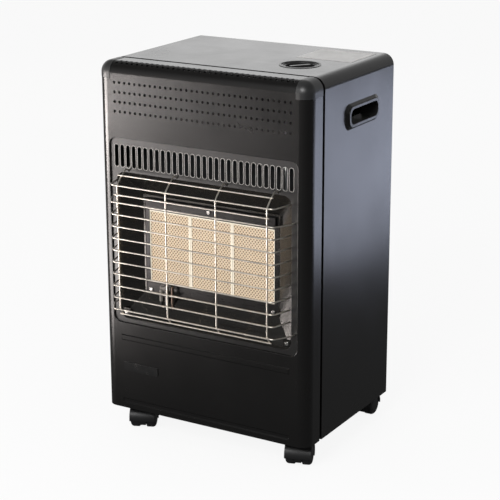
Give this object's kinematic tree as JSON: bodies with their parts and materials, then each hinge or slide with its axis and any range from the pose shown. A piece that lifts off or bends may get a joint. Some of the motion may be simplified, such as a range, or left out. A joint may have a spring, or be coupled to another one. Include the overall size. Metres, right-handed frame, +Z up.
{
  "type": "portable gas cabinet heater",
  "caption": "Portable cabinet heater on castors with a guarded ceramic radiant burner, top control knob, side handles and a removable rear cover over a bottle bay.",
  "frame": {"origin": "on the floor under the middle of the footprint", "axes": "+X to the right as one faces the heater, +Y from the front to the back, +Z up"},
  "size_m": [0.432, 0.3934, 0.6908],
  "materials": {
    "black_paint": "semi-gloss black enamel",
    "frame_steel": "satin black",
    "polished_steel": "polished",
    "guard_wire": "bright nickel plate",
    "dark_steel": "heat-darkened",
    "zinc": "zinc plated",
    "brass": "satin",
    "aluminium_pipe": "drawn",
    "copper_tube": "drawn copper",
    "lead_rubber": "silicone sleeve",
    "valve_alloy": "die cast",
    "ceramic": "unglazed perforated ceramic",
    "black_plastic": "moulded",
    "cap_plastic": "semi-gloss moulded",
    "wheel_plastic": "moulded nylon",
    "badge": "gloss with a light edge",
    "foil": "matt printed foil, left blank"
  },
  "bodies": {
    "cabinet": {"cabinet_wrap": "black_paint", "front_fascia": "black_paint", "front_frame": "frame_steel", "burner_surround": "black_paint", "firebox_liner": "polished_steel", "wire_guard": "guard_wire", "burner_frame": "dark_steel", "burner_screws": "zinc", "gas_jets": "brass", "gas_manifold": "zinc", "pilot_bracket": "polished_steel", "pilot_burner": "polished_steel", "pilot_pipe": "aluminium_pipe", "spark_electrode": "ceramic", "ignition_lead": "lead_rubber", "thermocouple": "copper_tube", "gas_valve": "valve_alloy", "valve_bracket": "zinc", "knob_well": "black_plastic", "hose_nozzle": "brass", "base_tray": "black_paint", "heat_shield": "zinc", "rear_top_brace": "black_paint", "badge_plate": "badge", "foil_plate": "foil", "castor_sockets": "black_plastic", "plaque_left": "ceramic", "burner_box_left": "dark_steel", "plaque_centre": "ceramic", "burner_box_centre": "dark_steel", "plaque_right": "ceramic", "burner_box_right": "dark_steel", "corner_cap_left": "cap_plastic", "handle_grip_left": "black_plastic", "corner_cap_right": "cap_plastic", "handle_grip_right": "black_plastic"},
    "plunger": {"valve_plunger": "brass"},
    "knob": {"control_knob": "black_plastic", "valve_spindle": "brass"},
    "rear_cover": {"rear_cover": "black_paint", "cover_studs": "black_plastic"},
    "castor_front_left": {"castor_front_left_hood": "black_plastic", "castor_front_left_pins": "zinc"},
    "castor_front_left_wheel_left": {"castor_front_left_wheel_left": "wheel_plastic"},
    "castor_front_left_wheel_right": {"castor_front_left_wheel_right": "wheel_plastic"},
    "castor_front_right": {"castor_front_right_hood": "black_plastic", "castor_front_right_pins": "zinc"},
    "castor_front_right_wheel_left": {"castor_front_right_wheel_left": "wheel_plastic"},
    "castor_front_right_wheel_right": {"castor_front_right_wheel_right": "wheel_plastic"},
    "castor_rear_left": {"castor_rear_left_hood": "black_plastic", "castor_rear_left_pins": "zinc"},
    "castor_rear_left_wheel_left": {"castor_rear_left_wheel_left": "wheel_plastic"},
    "castor_rear_left_wheel_right": {"castor_rear_left_wheel_right": "wheel_plastic"},
    "castor_rear_right": {"castor_rear_right_hood": "black_plastic", "castor_rear_right_pins": "zinc"},
    "castor_rear_right_wheel_left": {"castor_rear_right_wheel_left": "wheel_plastic"},
    "castor_rear_right_wheel_right": {"castor_rear_right_wheel_right": "wheel_plastic"}
  },
  "joints": [
    {"name": "knob_push", "type": "slide", "parent": "cabinet", "child": "plunger", "axis": [0, 0, -1], "range_m": [0, 0.005], "stiffness_N_per_m": 1500, "springref_m": -0.003},
    {"name": "knob_turn", "type": "hinge", "parent": "plunger", "child": "knob", "pos_m": [0.117, -0.02283, 0.68], "axis": [0, 0, 1], "range_deg": [0, 210]},
    {"name": "rear_cover_pull", "type": "slide", "parent": "cabinet", "child": "rear_cover", "axis": [0, 1, 0], "range_m": [0, 0.15]},
    {"name": "castor_front_left_swivel", "type": "hinge", "parent": "cabinet", "child": "castor_front_left", "pos_m": [-0.166, -0.09832, 0.045], "axis": [0, 0, 1], "continuous": true},
    {"name": "castor_front_left_spin_left", "type": "hinge", "parent": "castor_front_left", "child": "castor_front_left_wheel_left", "pos_m": [-0.15848, -0.11523, 0.02], "axis": [-0.9135, -0.4067, 0], "continuous": true},
    {"name": "castor_front_left_spin_right", "type": "hinge", "parent": "castor_front_left", "child": "castor_front_left_wheel_right", "pos_m": [-0.15848, -0.11523, 0.02], "axis": [-0.9135, -0.4067, 0], "continuous": true},
    {"name": "castor_front_right_swivel", "type": "hinge", "parent": "cabinet", "child": "castor_front_right", "pos_m": [0.166, -0.09832, 0.045], "axis": [0, 0, 1], "continuous": true},
    {"name": "castor_front_right_spin_left", "type": "hinge", "parent": "castor_front_right", "child": "castor_front_right_wheel_left", "pos_m": [0.17202, -0.11582, 0.02], "axis": [-0.9455, -0.3256, 0], "continuous": true},
    {"name": "castor_front_right_spin_right", "type": "hinge", "parent": "castor_front_right", "child": "castor_front_right_wheel_right", "pos_m": [0.17202, -0.11582, 0.02], "axis": [-0.9455, -0.3256, 0], "continuous": true},
    {"name": "castor_rear_left_swivel", "type": "hinge", "parent": "cabinet", "child": "castor_rear_left", "pos_m": [-0.166, 0.13068, 0.045], "axis": [0, 0, 1], "continuous": true},
    {"name": "castor_rear_left_spin_left", "type": "hinge", "parent": "castor_rear_left", "child": "castor_rear_left_wheel_left", "pos_m": [-0.16439, 0.1491, 0.02], "axis": [0.9962, -0.0872, 0], "continuous": true},
    {"name": "castor_rear_left_spin_right", "type": "hinge", "parent": "castor_rear_left", "child": "castor_rear_left_wheel_right", "pos_m": [-0.16439, 0.1491, 0.02], "axis": [0.9962, -0.0872, 0], "continuous": true},
    {"name": "castor_rear_right_swivel", "type": "hinge", "parent": "cabinet", "child": "castor_rear_right", "pos_m": [0.166, 0.13068, 0.045], "axis": [0, 0, 1], "continuous": true},
    {"name": "castor_rear_right_spin_left", "type": "hinge", "parent": "castor_rear_right", "child": "castor_rear_right_wheel_left", "pos_m": [0.16535, 0.14916, 0.02], "axis": [0.9994, 0.0349, 0], "continuous": true},
    {"name": "castor_rear_right_spin_right", "type": "hinge", "parent": "castor_rear_right", "child": "castor_rear_right_wheel_right", "pos_m": [0.16535, 0.14916, 0.02], "axis": [0.9994, 0.0349, 0], "continuous": true}
  ]
}
